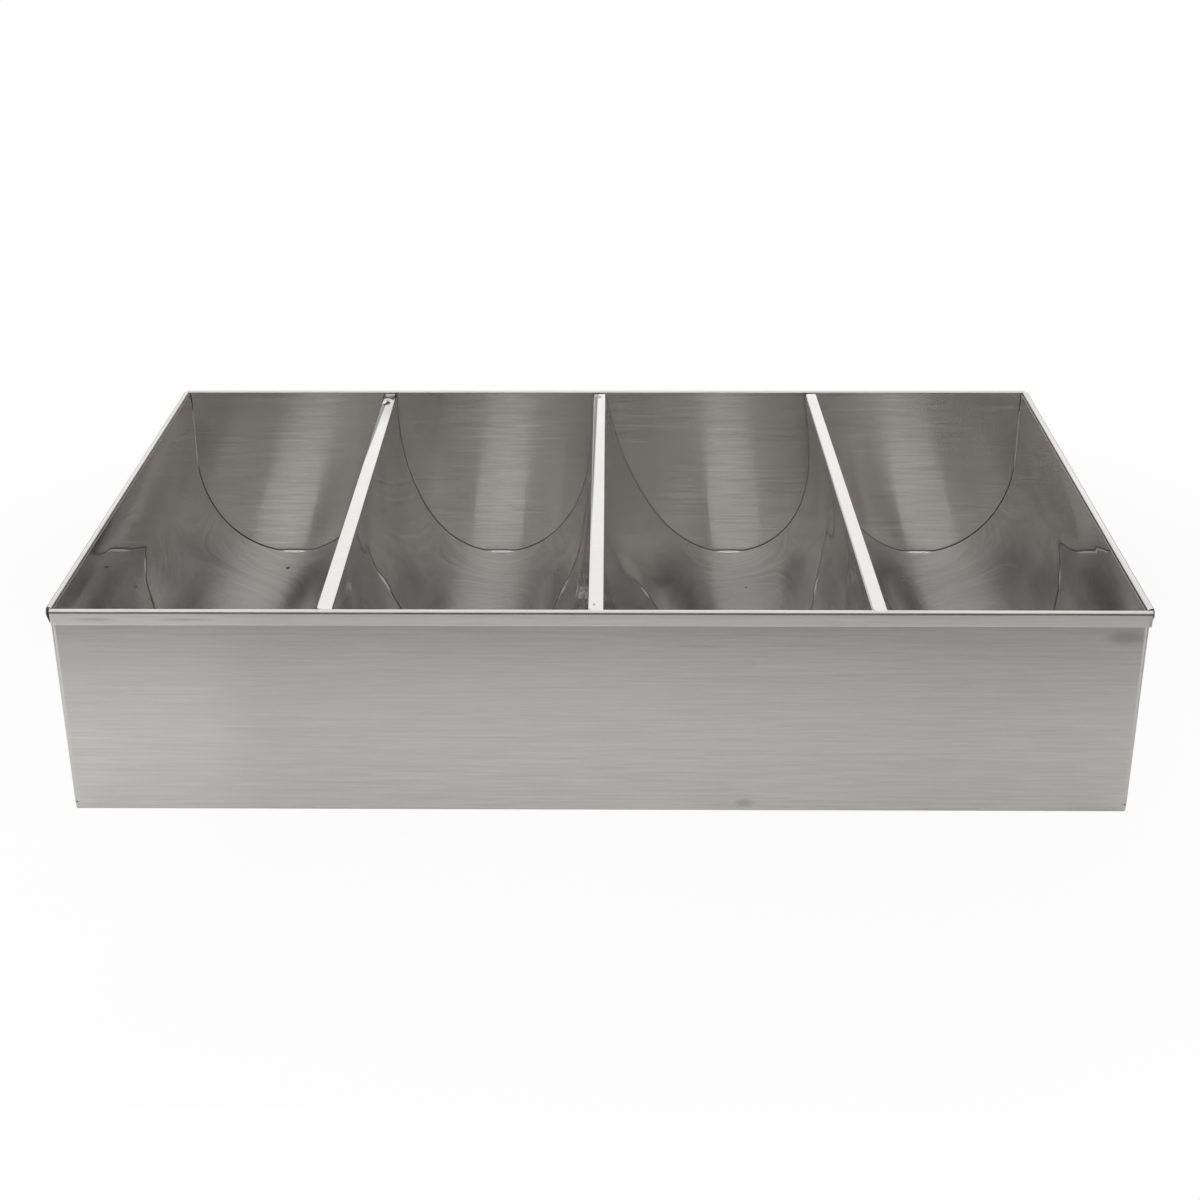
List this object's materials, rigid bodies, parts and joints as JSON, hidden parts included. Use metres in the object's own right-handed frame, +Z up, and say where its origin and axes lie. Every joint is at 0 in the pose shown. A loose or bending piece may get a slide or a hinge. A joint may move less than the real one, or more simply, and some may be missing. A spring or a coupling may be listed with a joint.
{
  "type": "cutlery bin",
  "caption": "Open rectangular brushed-steel bin with hemmed rims and round-bottomed troughs side by side, which sorts forks, knives and spoons.",
  "frame": {"origin": "under the middle of the base, on the surface that the bin stands on", "axes": "+X along the front from left to right, +Y from the front to the back, +Z up"},
  "size_m": [0.483, 0.298, 0.1015],
  "materials": {
    "body_steel": "stainless sheet, satin, fine grain along the length of each wall",
    "trough_steel": "stainless sheet, satin to half-bright, fine grain"
  },
  "bodies": {
    "root": {"wrap_body": "body_steel", "left_side_panel": "body_steel", "right_side_panel": "body_steel", "trough_1": "trough_steel", "trough_2": "trough_steel", "trough_3": "trough_steel", "trough_4": "trough_steel"}
  },
  "joints": []
}
